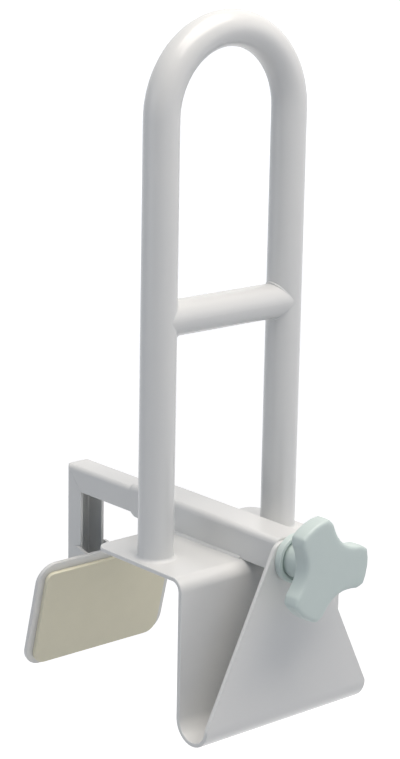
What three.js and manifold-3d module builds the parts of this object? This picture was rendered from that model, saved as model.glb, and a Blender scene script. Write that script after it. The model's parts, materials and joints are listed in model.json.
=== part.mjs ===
// Clamp-on safety rail for the side wall of a bathtub. All lengths are millimetres, +Z is up.
// X runs along the tub wall. Y runs across it: the room and the knob are at -Y, the bath at +Y.
// The origin is on the rim seat, the underside of the saddle's top plate, below the middle of the
// grab bar. A folded steel saddle straddles the tub rim. A square slide arm runs through a sleeve on
// the saddle and carries a tilting jaw, which a screw with a three-lobed knob draws against the wall.

import * as THREE from 'three';
import { mergeVertices } from 'three/addons/utils/BufferGeometryUtils.js';
import Module from 'manifold-3d';

const wasm = await Module();
wasm.setup();

// Shared clearances
const fitGap = 0.3;            // between a piece and the one it is welded to, seated on or glued to
const runGap = 0.3;            // between a moving piece and the one that guides it
const overrun = 6;             // how far a cutting shape runs past what it cuts
const cornerSteps = 10;        // flats on a rounded corner

// Grab bar and crossbar, from one-inch round tube
const barDiameter = 25.4;
const barWall = 1.6;
const legSpacing = 116.2;      // between the centre lines of the two legs
const barHeight = 378;         // top of the bar above the saddle's top face
const crossbarHeight = 170;    // centre line of the crossbar above the saddle's top face
const barSides = 32;
const bendSteps = 24;

// Saddle, folded from one sheet
const sheet = 3.2;
const plateSideMargin = 17.9;  // from a leg's centre line to the saddle's side edge
const plateReach = 46.6;       // from the grab bar's plane to the plate's bath-side end
const wallSeat = 45.7;         // from the grab bar's plane to the saddle leg's face on the tub wall
const rimBendRadius = 6.3;     // inside radius of the bend from the plate down into the leg
const hookRadius = 16.45;      // outside radius of the bend at the foot of the leg
const legDepth = 97.5;         // from the rim seat down to the centre of that bend
const leafAboveScrew = 11.8;   // top of the outer leaf above the screw's centre line
const leafTopWidth = 32.8;
const leafCornerRadius = 3;
const plateCornerRadius = 11;

// Slide arm, two mitred channels
const armWidth = 22.6;
const armHeight = 18.8;
const channelWall = 2.2;
const postDepth = 17.8;
const pivotInset = 4.6;        // from the post's front edges to the pivot
const postTail = 14;           // from the pivot down to the post's lower end
const armTail = 28;            // from the grab bar's plane to the arm's end in the sleeve
const armSideGap = 0.35;       // play at each side of the arm in its sleeve
const armTopGap = 1.2;         // play above it

// Clamp sleeve, welded along the saddle
const sleeveWall = 1.6;
const sleeveReach = 84.5;      // from the grab bar's plane to the sleeve's open end
const sleeveLipRadius = 8;     // rounding of the lower corner at the open end

// Clamp screw and what is on it
const screwDiameter = 10;
const screwDrop = 2.1;         // from the arm's middle down to the screw's centre line
const screwPast = 9;           // how far the screw's end passes the travelling nut, fully open
const screwChamfer = 1.5;
const screwSides = 20;
const nutLength = 14;
const nutInset = 2;            // from the arm's end to the travelling nut
const nutFootInset = 0.5;      // from the arm's open underside up to the nut
const collarWall = 2;
const collarLength = 6;
const pinDiameter = 3;
const pinSides = 12;

// Washer between the saddle's leaf and the knob
const washerThickness = 5;
const washerDishDepth = 2.4;
const dishPlay = 2;            // between the knob's hub and the dish's rim
const washerRim = 2.5;         // width of the rim round the dish
const washerSides = 40;

// Three-lobed knob
const hubDiameter = 26;
const hubLength = 20;          // from the washer's dish to the back of the lobes
const lobeThickness = 13.8;
const knobEdgeRadius = 3;
const knobTipRadius = 37.6;
const screwInKnob = 24;        // depth of the screw's socket
const knobTurnDegrees = -7;    // where the first lobe points at rest, from +X towards +Z
const lobeCount = 3;
const hubSides = 32;
const knobEdgeSteps = 3;
const knobCurveSteps = 6;

// Outline of a lobe: shares of the tip radius, and angles from the lobe's middle in degrees
const tipHalfAngle = 14;
const shoulderRadiusShare = 1.027;
const shoulderAngle = 22.7;
const flankRadiusShare = 0.812;
const flankAngle = 28.2;
const hollowRadiusShare = 0.47;

// Tilting jaw
const pivotReach = 150;        // from the grab bar's plane to the pivot, fully open
const pivotDrop = 62.4;        // from the rim seat down to the pivot
const jawTiltDegrees = 14;     // lean of the jaw's top edge towards the knob at rest
const jawWidth = 133;
const jawHeight = 89;
const jawCornerRadius = 15.5;
const jawTopRise = 31;         // from the pivot up to the jaw's top edge, along the jaw
const jawSetback = 17.25;      // from the pivot to the jaw plate's back, square to the plate
const earThickness = 2.5;
const earRadius = 8;           // of the ear round the bolt and at its top corner
const earTopRise = 24.8;       // from the pivot up to the ear's top edge
const earSideGap = 0.8;        // between an ear and the post
const earDrop = 30;            // from the pivot down to the ear's foot on the plate
const padThickness = 3;
const padSideMargin = 6.3;
const padTopMargin = 6.6;
const padFootMargin = 2.4;
const padCornerRadius = 6;

// Fixed pad on the saddle's leg
const wallPadMargin = 7;       // from the leg's side edges
const wallPadTopMargin = 4;    // from the end of the rim bend down to the pad
const wallPadFootMargin = 3.5; // from the start of the hook bend up to the pad

// Pivot bolt and what is on it
const boltDiameter = 6.4;
const boltHeadDiameter = 11;
const boltHeadHeight = 2.2;
const boltNutAcross = 11;      // across the nut's flats
const boltNutHeight = 5.5;
const boltTail = 1.5;          // thread past the nut
const washerRound = 14;        // outside diameter of the bolt's flat washers
const washerFlat = 1.2;        // their thickness
const spacerDiameter = 10;
const boltSides = 20;

// Weld fillets
const legWeld = 2.4;
const crossbarWeld = 1.4;
const sleeveWeld = 1.4;

// Places worked out from the sizes above
const barRadius = barDiameter / 2;
const legX = legSpacing / 2;
const saddleWidth = legSpacing + 2 * plateSideMargin;
const bendHeight = sheet + barHeight - barRadius - legX;
const hookInner = hookRadius - sheet;
const hookY = -wallSeat - hookRadius;
const leafOuterY = hookY - hookRadius;
const leafInnerY = leafOuterY + sheet;
const sleeveFloor = sheet + sleeveWall;
const armBottom = sleeveFloor + runGap;
const armTop = armBottom + armHeight;
const axisZ = (armBottom + armTop) / 2 - screwDrop;
const leafRise = axisZ + leafAboveScrew;
const sleeveTop = armTop + armTopGap + sleeveWall;
const sleeveHalf = armWidth / 2 + armSideGap + sleeveWall;
const armHalf = armWidth / 2;
const channelHalf = armHalf - channelWall;
const postFront = pivotReach - pivotInset;
const postBack = postFront + postDepth;
const postFoot = pivotDrop + postTail;
const screwRadius = screwDiameter / 2;
const screwTip = armTail + nutInset + nutLength + screwPast;
const collarDiameter = screwDiameter + 2 * collarWall;
const dishRadius = hubDiameter / 2 + dishPlay;
const washerRadius = dishRadius + washerRim;
const boltRadius = boltDiameter / 2;
const collarY = leafInnerY + runGap;
const washerY = leafOuterY - fitGap;
const dishY = washerY - washerThickness + washerDishDepth;
const hubY = dishY - runGap;
const lobeBackY = hubY - hubLength;
const knobFrontY = lobeBackY - lobeThickness;
const earInner = armHalf + earSideGap;
const earOuter = earInner + earThickness;
const jawFront = jawSetback + sheet;
const wallPadTop = rimBendRadius + wallPadTopMargin;
const wallPadFoot = legDepth - wallPadFootMargin;

// Solids: joining and cutting

function solidOf(geometry) {
  const bare = geometry.index ? geometry.toNonIndexed() : geometry.clone();
  bare.deleteAttribute('normal');
  bare.deleteAttribute('uv');
  const merged = mergeVertices(bare);
  const vertProperties = new Float32Array(merged.attributes.position.array);
  const triVerts = new Uint32Array(merged.index.array);
  return new wasm.Manifold(new wasm.Mesh({ numProp: 3, vertProperties, triVerts }));
}

function geometryOf(solid) {
  const mesh = solid.getMesh();
  const geometry = new THREE.BufferGeometry();
  geometry.setAttribute('position', new THREE.BufferAttribute(new Float32Array(mesh.vertProperties), 3));
  geometry.setIndex(new THREE.BufferAttribute(new Uint32Array(mesh.triVerts), 1));
  geometry.computeVertexNormals();
  return geometry;
}

function cut(base, ...tools) {
  let solid = solidOf(base);
  for (const tool of tools) {
    solid = solid.subtract(solidOf(tool));
  }
  return geometryOf(solid);
}

function join(...pieces) {
  let solid = solidOf(pieces[0]);
  for (const piece of pieces.slice(1)) {
    solid = solid.add(solidOf(piece));
  }
  return geometryOf(solid);
}

function common(base, tool) {
  return geometryOf(solidOf(base).intersect(solidOf(tool)));
}

// Basic forms

function block(x0, x1, y0, y1, z0, z1) {
  const geometry = new THREE.BoxGeometry(x1 - x0, y1 - y0, z1 - z0);
  return geometry.translate((x0 + x1) / 2, (y0 + y1) / 2, (z0 + z1) / 2);
}

// A shape drawn in Y and Z, drawn out along X
function alongX(shape, x0, x1) {
  const options = { depth: x1 - x0, bevelEnabled: false, curveSegments: cornerSteps };
  const geometry = new THREE.ExtrudeGeometry(shape, options);
  const turn = new THREE.Matrix4().makeBasis(
    new THREE.Vector3(0, 1, 0), new THREE.Vector3(0, 0, 1), new THREE.Vector3(1, 0, 0));
  return geometry.applyMatrix4(turn).translate(x0, 0, 0);
}

// A shape drawn in X and Z, drawn out along Y from y1 back to y0
function alongY(shape, y0, y1, bevel = {}) {
  const options = { depth: y1 - y0, bevelEnabled: false, curveSegments: cornerSteps, ...bevel };
  const geometry = new THREE.ExtrudeGeometry(shape, options);
  const turn = new THREE.Matrix4().makeBasis(
    new THREE.Vector3(1, 0, 0), new THREE.Vector3(0, 0, 1), new THREE.Vector3(0, -1, 0));
  return geometry.applyMatrix4(turn).translate(0, y1, 0);
}

// A shape drawn in X and Y, drawn out along Z
function alongZ(shape, z0, z1) {
  const options = { depth: z1 - z0, bevelEnabled: false, curveSegments: cornerSteps };
  return new THREE.ExtrudeGeometry(shape, options).translate(0, 0, z0);
}

function polygon(points) {
  return new THREE.Shape(points.map(([a, b]) => new THREE.Vector2(a, b)));
}

function roundedRectangle(left, right, low, high, radius) {
  const shape = new THREE.Shape();
  shape.moveTo(left + radius, low);
  shape.absarc(right - radius, low + radius, radius, -Math.PI / 2, 0, false);
  shape.absarc(right - radius, high - radius, radius, 0, Math.PI / 2, false);
  shape.absarc(left + radius, high - radius, radius, Math.PI / 2, Math.PI, false);
  shape.absarc(left + radius, low + radius, radius, Math.PI, 1.5 * Math.PI, false);
  shape.closePath();
  return shape;
}

// A round rod along X, Y or Z
function rodX(radius, x0, x1, y, z, sides) {
  const geometry = new THREE.CylinderGeometry(radius, radius, x1 - x0, sides);
  return geometry.rotateZ(-Math.PI / 2).translate((x0 + x1) / 2, y, z);
}

function rodY(radius, y0, y1, x, z, sides) {
  const geometry = new THREE.CylinderGeometry(radius, radius, y1 - y0, sides);
  return geometry.translate(x, (y0 + y1) / 2, z);
}

function rodZ(radius, z0, z1, x, y, sides) {
  const geometry = new THREE.CylinderGeometry(radius, radius, z1 - z0, sides);
  return geometry.rotateX(Math.PI / 2).translate(x, y, (z0 + z1) / 2);
}

// A turned piece on the screw's axis, from points of radius and Y
function turnedY(points, sides) {
  const profile = points.map(([radius, y]) => new THREE.Vector2(radius, y));
  return new THREE.LatheGeometry(profile, sides).translate(0, 0, axisZ);
}

function ringSectionY(innerRadius, outerRadius, y0, y1) {
  return [[innerRadius, y0], [outerRadius, y0], [outerRadius, y1], [innerRadius, y1], [innerRadius, y0]];
}

// Finishes

function greyPaint() {
  return new THREE.MeshStandardMaterial({ color: 0xb4b7b8, roughness: 0.42, metalness: 0.0 });
}

function weldPaint() {
  return new THREE.MeshStandardMaterial({ color: 0xaaadae, roughness: 0.5, metalness: 0.0 });
}

function knobPlastic() {
  return new THREE.MeshStandardMaterial({ color: 0xb6c2c1, roughness: 0.38, metalness: 0.0 });
}

function beigeRubber() {
  return new THREE.MeshStandardMaterial({ color: 0xb3ae9f, roughness: 0.85, metalness: 0.0 });
}

function zincSteel() {
  return new THREE.MeshStandardMaterial({ color: 0x9a9c9e, roughness: 0.35, metalness: 1.0 });
}

function blackOxide() {
  return new THREE.MeshStandardMaterial({ color: 0x3a3c3e, roughness: 0.45, metalness: 1.0 });
}

// Grab bar: one tube bent through half a circle, with its open ends on the saddle

class BarPath extends THREE.Curve {
  // Equal steps of the parameter are one straight, the bend's steps, and the other straight
  getUtoTmapping(u) {
    return u;
  }

  getPoint(t, target = new THREE.Vector3()) {
    const place = t * (bendSteps + 2);
    if (place <= 1) {
      return target.set(-legX, 0, sheet + place * (bendHeight - sheet));
    }
    if (place >= bendSteps + 1) {
      return target.set(legX, 0, bendHeight - (place - bendSteps - 1) * (bendHeight - sheet));
    }
    const angle = Math.PI * (1 - (place - 1) / bendSteps);
    return target.set(legX * Math.cos(angle), 0, bendHeight + legX * Math.sin(angle));
  }
}

function grabBar() {
  const section = new THREE.Shape();
  section.absarc(0, 0, barRadius, 0, 2 * Math.PI, false);
  const bore = new THREE.Path();
  bore.absarc(0, 0, barRadius - barWall, 0, 2 * Math.PI, true);
  section.holes.push(bore);
  return new THREE.ExtrudeGeometry(section, {
    steps: bendSteps + 2, curveSegments: barSides / 2, extrudePath: new BarPath(), bevelEnabled: false,
  });
}

function crossbar() {
  const z = sheet + crossbarHeight;
  const tube = rodX(barRadius, -legX, legX, 0, z, barSides);
  const bore = rodX(barRadius - barWall, -legX - overrun, legX + overrun, 0, z, barSides);
  const legs = [-1, 1].map((side) => (
    rodZ(barRadius + fitGap, z - barDiameter, z + barDiameter, side * legX, 0, barSides)));
  return cut(tube, bore, ...legs);
}

function crossbarWeldRing(side) {
  const z = sheet + crossbarHeight;
  const inner = side * legX;
  const reach = side * (legX - barDiameter);
  const outerRadius = barRadius + fitGap + crossbarWeld;
  const around = rodX(outerRadius, Math.min(inner, reach), Math.max(inner, reach), 0, z, barSides);
  const leg = rodZ(outerRadius, z - barDiameter, z + barDiameter, inner, 0, barSides);
  const crossCut = rodX(barRadius + fitGap, -legX - barDiameter, legX + barDiameter, 0, z, barSides);
  const legCut = rodZ(barRadius + fitGap, z - 2 * barDiameter, z + 2 * barDiameter, inner, 0, barSides);
  return cut(common(around, leg), crossCut, legCut);
}

function legWeldRing(side) {
  const inner = barRadius + fitGap;
  const profile = [[inner, 0], [inner + legWeld, 0], [inner, legWeld], [inner, 0]];
  const points = profile.map(([radius, y]) => new THREE.Vector2(radius, y));
  const ring = new THREE.LatheGeometry(points, barSides);
  return ring.rotateX(Math.PI / 2).translate(side * legX, 0, sheet);
}

// Saddle: plate, leg, hook and leaf from one bent sheet

function saddleProfile() {
  const shape = new THREE.Shape();
  const bendY = -wallSeat + rimBendRadius;
  shape.moveTo(plateReach, 0);
  shape.lineTo(plateReach, sheet);
  shape.absarc(bendY, -rimBendRadius, rimBendRadius + sheet, Math.PI / 2, Math.PI, false);
  shape.absarc(hookY, -legDepth, hookInner, 0, -Math.PI, true);
  shape.lineTo(leafInnerY, leafRise);
  shape.lineTo(leafOuterY, leafRise);
  shape.absarc(hookY, -legDepth, hookRadius, Math.PI, 2 * Math.PI, false);
  shape.absarc(bendY, -rimBendRadius, rimBendRadius, Math.PI, Math.PI / 2, true);
  shape.closePath();
  return shape;
}

function saddleBlank() {
  const half = saddleWidth / 2;
  const topHalf = leafTopWidth / 2;
  const inset = leafCornerRadius;
  const leaf = new THREE.Shape();
  leaf.moveTo(-half, -legDepth);
  leaf.lineTo(half, -legDepth);
  leaf.lineTo(topHalf + inset / 2, leafRise - inset);
  leaf.quadraticCurveTo(topHalf, leafRise, topHalf - inset, leafRise);
  leaf.lineTo(inset - topHalf, leafRise);
  leaf.quadraticCurveTo(-topHalf, leafRise, -topHalf - inset / 2, leafRise - inset);
  leaf.closePath();
  const leafZone = alongY(leaf, leafOuterY - overrun, hookY);
  const hookZone = block(-half - overrun, half + overrun, leafOuterY - overrun, hookY,
    -legDepth - hookRadius - overrun, -legDepth);
  const rounded = roundedRectangle(-half, half, hookY, plateReach, plateCornerRadius);
  const frontZone = block(-half, half, hookY, 0, -legDepth - hookRadius - overrun, sheet + overrun);
  const plateZone = alongZ(rounded, -legDepth - hookRadius - overrun, sheet + overrun);
  return join(join(frontZone, plateZone), join(leafZone, hookZone));
}

function saddle() {
  const half = saddleWidth / 2;
  const sheetForm = alongX(saddleProfile(), -half, half);
  const holeRadius = screwRadius + runGap;
  const screwHole = rodY(holeRadius, leafOuterY - overrun, leafInnerY + overrun, 0, axisZ, screwSides);
  return cut(common(sheetForm, saddleBlank()), screwHole);
}

function wallPad() {
  const half = saddleWidth / 2 - wallPadMargin;
  const outline = roundedRectangle(-half, half, -wallPadFoot, -wallPadTop, padCornerRadius);
  return alongY(outline, -wallSeat + fitGap, -wallSeat + fitGap + padThickness);
}

// Clamp sleeve: the rectangular tube along the saddle's plate. Its floor ends with the plate, so that
// the post can slide in between the two side walls.

function sleeve() {
  const side = new THREE.Shape();
  const lip = sleeveLipRadius;
  side.moveTo(leafInnerY, sheet);
  side.lineTo(sleeveReach - lip, sheet);
  side.absarc(sleeveReach - lip, sheet + lip, lip, -Math.PI / 2, 0, false);
  side.lineTo(sleeveReach, sleeveTop);
  side.lineTo(leafInnerY, sleeveTop);
  side.closePath();
  const outer = alongX(side, -sleeveHalf, sleeveHalf);
  const innerHalf = sleeveHalf - sleeveWall;
  const bore = block(-innerHalf, innerHalf, leafInnerY - overrun, sleeveReach + overrun,
    sleeveFloor, sleeveTop - sleeveWall);
  const postWay = block(-innerHalf, innerHalf, plateReach, sleeveReach + overrun,
    sheet - overrun, sleeveFloor + sleeveWall);
  return cut(outer, bore, postWay);
}

function sleeveWeldBead(side) {
  const inner = side * (sleeveHalf + fitGap);
  const outer = side * (sleeveHalf + fitGap + sleeveWeld);
  const start = -wallSeat + rimBendRadius;
  const bead = polygon([[inner, sheet], [outer, sheet], [inner, sheet + sleeveWeld]]);
  return alongY(bead, start, plateReach);
}

// Slide arm: a channel open below, mitred to a post that is open towards the knob

function armChannel() {
  const outline = polygon([
    [armTail, armBottom], [postFront, armBottom], [postBack, armTop], [armTail, armTop]]);
  const inside = block(-channelHalf, channelHalf, armTail - overrun, postBack + overrun,
    armBottom - overrun, armTop - channelWall);
  return cut(alongX(outline, -armHalf, armHalf), inside);
}

function postChannel() {
  const outline = polygon([
    [postFront, -postFoot], [postBack, -postFoot],
    [postBack, armTop - fitGap], [postFront, armBottom - fitGap]]);
  const inside = block(-channelHalf, channelHalf, postFront - overrun, postBack - channelWall,
    -postFoot - overrun, armTop + overrun);
  const boltHole = rodX(boltRadius + runGap, -armHalf - overrun, armHalf + overrun,
    pivotReach, -pivotDrop, boltSides);
  return cut(alongX(outline, -armHalf, armHalf), inside, boltHole);
}

function armNut() {
  const half = channelHalf - fitGap;
  const start = armTail + nutInset;
  const body = block(-half, half, start, start + nutLength,
    armBottom + nutFootInset, armTop - channelWall - fitGap);
  const end = start + nutLength;
  return cut(body, rodY(screwRadius + runGap, start - overrun, end + overrun, 0, axisZ, screwSides));
}

// Clamp screw, its collar and pin

function pinPlaceY() {
  return collarY + collarLength / 2;
}

function clampScrew() {
  const start = knobFrontY + (hubLength + lobeThickness - screwInKnob) + fitGap;
  const core = screwRadius - screwChamfer;
  const rod = turnedY([
    [0, start], [screwRadius, start], [screwRadius, screwTip - screwChamfer], [core, screwTip], [0, screwTip],
  ], screwSides);
  const pinHole = rodZ(pinDiameter / 2 + fitGap, axisZ - screwDiameter, axisZ + screwDiameter,
    0, pinPlaceY(), pinSides);
  return cut(rod, pinHole);
}

function retainingCollar() {
  const ring = turnedY(
    ringSectionY(screwRadius + fitGap, collarDiameter / 2, collarY, collarY + collarLength), screwSides);
  const pinHole = rodZ(pinDiameter / 2 + fitGap, axisZ - collarDiameter, axisZ + collarDiameter,
    0, pinPlaceY(), pinSides);
  return cut(ring, pinHole);
}

function collarPin() {
  const half = collarDiameter / 2;
  return rodZ(pinDiameter / 2, axisZ - half, axisZ + half, 0, pinPlaceY(), pinSides);
}

function thrustWasher() {
  const inner = screwRadius + runGap;
  const front = washerY - washerThickness;
  return turnedY([
    [inner, washerY], [inner, dishY], [dishRadius, dishY], [dishRadius, front],
    [washerRadius, front], [washerRadius, washerY], [inner, washerY],
  ], washerSides);
}

// Knob: three lobes and a hub moulded as one

function degrees(angle) {
  return angle * Math.PI / 180;
}

function onKnob(radius, angle) {
  return [radius * Math.cos(degrees(angle)), radius * Math.sin(degrees(angle))];
}

function knobOutline(inset) {
  const tip = knobTipRadius - inset;
  const shape = new THREE.Shape();
  const pitch = 360 / lobeCount;
  for (let lobe = 0; lobe < lobeCount; lobe += 1) {
    const middle = knobTurnDegrees + lobe * pitch;
    const next = middle + pitch;
    const hollow = onKnob(hollowRadiusShare * knobTipRadius - inset, middle + pitch / 2);
    const tipEnd = middle + tipHalfAngle;
    if (lobe === 0) {
      shape.moveTo(...onKnob(tip, middle - tipHalfAngle));
    }
    shape.absarc(0, 0, tip, degrees(middle - tipHalfAngle), degrees(tipEnd), false);
    shape.quadraticCurveTo(
      ...onKnob(shoulderRadiusShare * tip, middle + shoulderAngle),
      ...onKnob(flankRadiusShare * tip, middle + flankAngle));
    shape.quadraticCurveTo(...hollow, ...onKnob(flankRadiusShare * tip, next - flankAngle));
    shape.quadraticCurveTo(
      ...onKnob(shoulderRadiusShare * tip, next - shoulderAngle),
      ...onKnob(tip, next - tipHalfAngle));
  }
  return shape;
}

function knob() {
  const rounding = {
    bevelEnabled: true,
    bevelSize: knobEdgeRadius,
    bevelThickness: knobEdgeRadius,
    bevelSegments: knobEdgeSteps,
    curveSegments: knobCurveSteps,
  };
  const front = knobFrontY + knobEdgeRadius;
  const back = lobeBackY - knobEdgeRadius;
  const lobes = alongY(knobOutline(knobEdgeRadius), front, back, rounding).translate(0, 0, axisZ);
  const hub = rodY(hubDiameter / 2, knobFrontY + lobeThickness / 2, hubY, 0, axisZ, hubSides);
  const socket = rodY(screwRadius + fitGap, hubY - screwInKnob, hubY + overrun, 0, axisZ, screwSides);
  return cut(join(lobes, hub), socket);
}

// Tilting jaw, in its own frame: the origin is the pivot and the plate stands upright

function jawPlate() {
  const half = jawWidth / 2;
  const outline = roundedRectangle(-half, half, jawTopRise - jawHeight, jawTopRise, jawCornerRadius);
  return alongY(outline, -jawFront, -jawSetback);
}

function jawPad() {
  const half = jawWidth / 2 - padSideMargin;
  const low = jawTopRise - jawHeight + padFootMargin;
  const outline = roundedRectangle(-half, half, low, jawTopRise - padTopMargin, padCornerRadius);
  return alongY(outline, -jawFront - fitGap - padThickness, -jawFront - fitGap);
}

function jawEar(side) {
  const back = -jawSetback + fitGap;
  const outline = new THREE.Shape();
  outline.moveTo(back, earTopRise);
  outline.lineTo(back, -earDrop);
  outline.absarc(0, 0, earRadius, -Math.PI / 4, 0, false);
  outline.absarc(0, earTopRise - earRadius, earRadius, 0, Math.PI / 2, false);
  outline.closePath();
  const inner = side * earInner;
  const outer = side * earOuter;
  const ear = alongX(outline, Math.min(inner, outer), Math.max(inner, outer));
  return cut(ear, rodX(boltRadius + fitGap, -earOuter - overrun, earOuter + overrun, 0, 0, boltSides));
}

function pivotBolt() {
  const headInner = -earOuter - fitGap - washerFlat - fitGap;
  const tail = earOuter + fitGap + washerFlat + fitGap + boltNutHeight + boltTail;
  const crown = boltHeadHeight / 2;
  const points = [
    [0, headInner - boltHeadHeight],
    [boltHeadDiameter / 2 - crown, headInner - boltHeadHeight],
    [boltHeadDiameter / 2, headInner - crown],
    [boltHeadDiameter / 2, headInner],
    [boltRadius, headInner],
    [boltRadius, tail],
    [0, tail],
  ].map(([radius, x]) => new THREE.Vector2(radius, x));
  return new THREE.LatheGeometry(points, boltSides).rotateZ(-Math.PI / 2);
}

function boltNut() {
  const start = earOuter + fitGap + washerFlat + fitGap;
  const hexRadius = boltNutAcross / 2 / Math.cos(Math.PI / 6);
  const end = start + boltNutHeight;
  const body = rodX(hexRadius, start, end, 0, 0, 6);
  return cut(body, rodX(boltRadius + fitGap, start - overrun, end + overrun, 0, 0, boltSides));
}

function boltWasher(side) {
  const inner = side * (earOuter + fitGap);
  const outer = side * (earOuter + fitGap + washerFlat);
  const body = rodX(washerRound / 2, Math.min(inner, outer), Math.max(inner, outer), 0, 0, boltSides);
  return cut(body, rodX(boltRadius + fitGap, -earOuter - overrun, earOuter + overrun, 0, 0, boltSides));
}

// The tube on the bolt that keeps the post's two sides apart
function pivotSpacer() {
  const half = channelHalf - fitGap;
  const body = rodX(spacerDiameter / 2, -half, half, pivotReach, -pivotDrop, boltSides);
  const past = half + overrun;
  return cut(body, rodX(boltRadius + runGap, -past, past, pivotReach, -pivotDrop, boltSides));
}

// Assembly

function piece(name, geometry, material) {
  const mesh = new THREE.Mesh(geometry, material);
  mesh.name = name;
  return mesh;
}

function railFrame() {
  const group = new THREE.Group();
  group.add(piece('grab_bar', grabBar(), greyPaint()));
  group.add(piece('crossbar', crossbar(), greyPaint()));
  group.add(piece('saddle_bracket', saddle(), greyPaint()));
  group.add(piece('clamp_sleeve', sleeve(), greyPaint()));
  group.add(piece('wall_pad', wallPad(), beigeRubber()));
  group.add(piece('thrust_washer', thrustWasher(), knobPlastic()));
  for (const [name, side] of [['near', -1], ['far', 1]]) {
    group.add(piece(`leg_weld_${name}`, legWeldRing(side), weldPaint()));
    group.add(piece(`crossbar_weld_${name}`, crossbarWeldRing(side), weldPaint()));
    group.add(piece(`sleeve_weld_${name}`, sleeveWeldBead(side), weldPaint()));
  }
  return group;
}

function slideArm() {
  const group = new THREE.Group();
  group.add(piece('arm_channel', armChannel(), greyPaint()));
  group.add(piece('post_channel', postChannel(), greyPaint()));
  group.add(piece('arm_nut', armNut(), zincSteel()));
  group.add(piece('pivot_spacer', pivotSpacer(), zincSteel()));
  return group;
}

function clampDrive() {
  const group = new THREE.Group();
  group.add(piece('clamp_screw', clampScrew(), zincSteel()));
  group.add(piece('retaining_collar', retainingCollar(), zincSteel()));
  group.add(piece('collar_pin', collarPin(), zincSteel()));
  group.add(piece('clamp_knob', knob(), knobPlastic()));
  return group;
}

function tiltingJaw() {
  const group = new THREE.Group();
  group.position.set(0, pivotReach, -pivotDrop);
  group.rotation.x = degrees(jawTiltDegrees);
  group.add(piece('jaw_plate', jawPlate(), greyPaint()));
  group.add(piece('jaw_pad', jawPad(), beigeRubber()));
  group.add(piece('pivot_bolt', pivotBolt(), zincSteel()));
  group.add(piece('pivot_nut', boltNut(), blackOxide()));
  for (const [name, side] of [['near', -1], ['far', 1]]) {
    group.add(piece(`jaw_ear_${name}`, jawEar(side), greyPaint()));
    group.add(piece(`pivot_washer_${name}`, boltWasher(side), zincSteel()));
  }
  return group;
}

const rail = new THREE.Group();
rail.add(railFrame(), slideArm(), clampDrive(), tiltingJaw());

export default rail;
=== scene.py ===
"""Clamp-on safety rail for the side wall of a bathtub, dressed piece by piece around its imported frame.

Lengths in this file are millimetres unless a name says otherwise. +Z is up, X runs along the tub wall, the
room and the knob are at -Y, and the bath and the jaw are at +Y. The origin is on the rim seat, the underside
of the saddle's top plate.
"""

import json
import logging
import math
from contextlib import contextmanager
from dataclasses import dataclass
from enum import Enum, IntEnum
from typing import Any, Callable, Iterator, NamedTuple, Sequence

import bmesh
import bpy
from mathutils import Matrix, Vector


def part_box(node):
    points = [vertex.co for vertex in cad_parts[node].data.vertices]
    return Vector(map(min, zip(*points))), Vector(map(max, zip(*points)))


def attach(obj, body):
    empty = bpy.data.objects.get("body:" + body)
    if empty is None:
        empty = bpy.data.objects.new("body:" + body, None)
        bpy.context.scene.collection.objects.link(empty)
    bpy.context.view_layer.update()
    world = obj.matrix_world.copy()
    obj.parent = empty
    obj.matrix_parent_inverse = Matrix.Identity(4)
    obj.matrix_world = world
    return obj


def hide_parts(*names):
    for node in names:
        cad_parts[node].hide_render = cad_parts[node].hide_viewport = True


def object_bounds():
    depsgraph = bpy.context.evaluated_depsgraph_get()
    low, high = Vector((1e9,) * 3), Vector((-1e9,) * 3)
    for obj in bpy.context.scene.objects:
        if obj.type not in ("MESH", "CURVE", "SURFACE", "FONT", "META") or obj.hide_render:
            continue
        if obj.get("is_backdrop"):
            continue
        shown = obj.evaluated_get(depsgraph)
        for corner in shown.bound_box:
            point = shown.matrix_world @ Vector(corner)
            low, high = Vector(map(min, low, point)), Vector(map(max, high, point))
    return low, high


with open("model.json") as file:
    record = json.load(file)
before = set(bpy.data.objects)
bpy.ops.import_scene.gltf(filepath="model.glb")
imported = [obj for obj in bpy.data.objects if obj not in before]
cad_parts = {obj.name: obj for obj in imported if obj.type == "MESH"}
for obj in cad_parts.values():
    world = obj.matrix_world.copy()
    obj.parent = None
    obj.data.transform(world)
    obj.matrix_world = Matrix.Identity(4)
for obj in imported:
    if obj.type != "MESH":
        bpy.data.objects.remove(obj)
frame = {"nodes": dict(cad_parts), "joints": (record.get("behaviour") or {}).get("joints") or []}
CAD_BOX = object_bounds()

MM = 0.001  # a millimetre, in metres
NEAR = 0.05  # how close to a plane counts as on it
MERGE = 0.002  # vertices closer than this are one
PAST = 5.0  # how far a cutting shape runs past what it cuts
ALONG = 0.9  # cosine over which a face or an edge counts as in line with an axis
CRISP = 60.0  # degrees, where only the sharpest edges of a shape count
FINE = 3  # steps in a rounded edge that the light runs along
HEXAGON = 6  # sides of a nut and of its key's socket
FACE_WEIGHT = 60  # how far large faces rule the shading of small ones, of 100
WHITE = (1.0, 1.0, 1.0, 1.0)
Point = tuple[float, float, float]
Piece = bpy.types.Object

logging.basicConfig(level=logging.INFO, format="%(levelname)s %(message)s")
log = logging.getLogger("bath_rail")


class Part(Enum):
    """What an edit-mode pick looks at."""

    POINTS = "VERT"
    EDGES = "EDGE"
    FACES = "FACE"


class Join(Enum):
    """What a tool shape does to a piece."""

    ADD = "UNION"
    CUT = "DIFFERENCE"
    KEEP = "INTERSECT"


class Side(IntEnum):
    """The rail's two sides, each valued by its way along X."""

    NEAR = -1
    FAR = 1

    @property
    def word(self) -> str:
        """The side's name as the CAD nodes spell it."""
        return self.name.lower()


class Body(Enum):
    """The bodies that pieces ride on."""

    RAIL = "rail_frame"
    ARM = "slide_arm"
    DRIVE = "clamp_drive"
    JAW = "tilting_jaw"


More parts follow.
